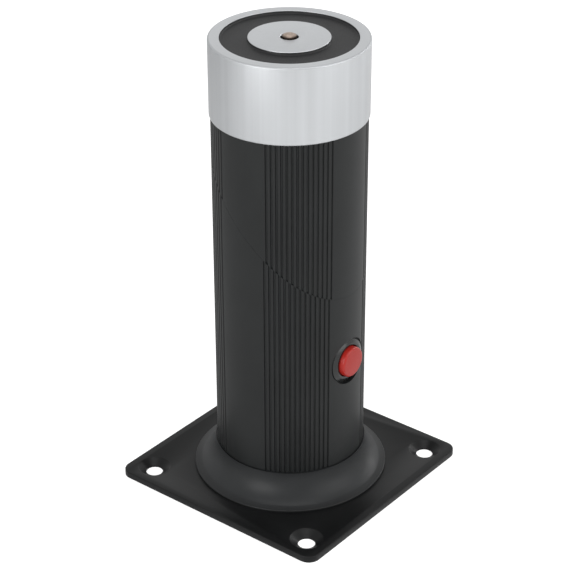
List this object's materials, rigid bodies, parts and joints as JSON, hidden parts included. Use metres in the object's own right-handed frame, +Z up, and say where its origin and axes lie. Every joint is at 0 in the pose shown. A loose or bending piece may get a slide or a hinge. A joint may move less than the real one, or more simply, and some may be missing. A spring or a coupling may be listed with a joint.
{
  "type": "holding electromagnet",
  "caption": "Door-holding electromagnet on a ribbed column with a square base plate, a swivelling mitred head and a release push-button.",
  "frame": {"origin": "centre of the base plate's underside", "axes": "+Z up along the column, plate sides along X and Y, release button facing -Y"},
  "size_m": [0.09, 0.09, 0.1722],
  "materials": {
    "black_paint": "satin",
    "black_anodised": "satin",
    "cast_alloy": "matte",
    "zinc_plated_pot": "satin",
    "plated_steel": "satin",
    "pin_steel": "satin",
    "spring_steel": "satin",
    "brass": "satin",
    "copper_winding": "satin",
    "black_resin": "satin",
    "black_plastic": "gloss",
    "brown_plastic": "satin",
    "natural_plastic": "satin",
    "red_plastic": "gloss",
    "dark_insulation": "satin",
    "red_insulation": "satin",
    "rubber": "matte"
  },
  "bodies": {
    "foot": {"base_flange": "black_paint", "tie_screws": "plated_steel", "foot_tube": "black_anodised", "foot_plug": "cast_alloy", "stop_pin": "plated_steel", "thrust_washer": "natural_plastic", "disc_springs": "spring_steel", "switch_body": "black_plastic", "switch_saddle": "black_plastic", "switch_nut": "plated_steel", "switch_base": "brown_plastic", "fixed_contacts": "brass", "terminal_block": "natural_plastic", "terminal_inserts": "brass", "terminal_screws": "plated_steel", "block_screws": "plated_steel", "suppressor": "black_plastic", "switch_leads": "dark_insulation", "feed_leads": "red_insulation", "button_spring": "spring_steel"},
    "button": {"button_cap": "red_plastic", "contact_bridge": "brass"},
    "head": {"head_tube": "black_anodised", "head_plug": "cast_alloy", "plug_screws": "plated_steel", "pivot_bolt": "plated_steel", "pivot_nut": "plated_steel", "magnet_pot": "zinc_plated_pot", "coil_bobbin": "natural_plastic", "coil_winding": "copper_winding", "coil_cover": "black_resin", "pin_retainer": "brass", "lead_grommet": "rubber", "coil_leads": "red_insulation", "pin_spring": "spring_steel"},
    "pin": {"push_off_pin": "pin_steel"}
  },
  "joints": [
    {"name": "head_swivel", "type": "hinge", "parent": "foot", "child": "head", "pos_m": [0, 0, 0.1088], "axis": [0, -0.7071, 0.7071], "range_deg": [0, 180]},
    {"name": "button_press", "type": "slide", "parent": "foot", "child": "button", "axis": [0, 1, 0], "range_m": [0, 0.0015], "stiffness_N_per_m": 600, "springref_m": -0.004, "deforming": ["button_spring"]},
    {"name": "pin_push", "type": "slide", "parent": "head", "child": "pin", "axis": [0, 0, -1], "range_m": [0, 0.0012], "stiffness_N_per_m": 1500, "springref_m": -0.004, "deforming": ["pin_spring"]}
  ]
}
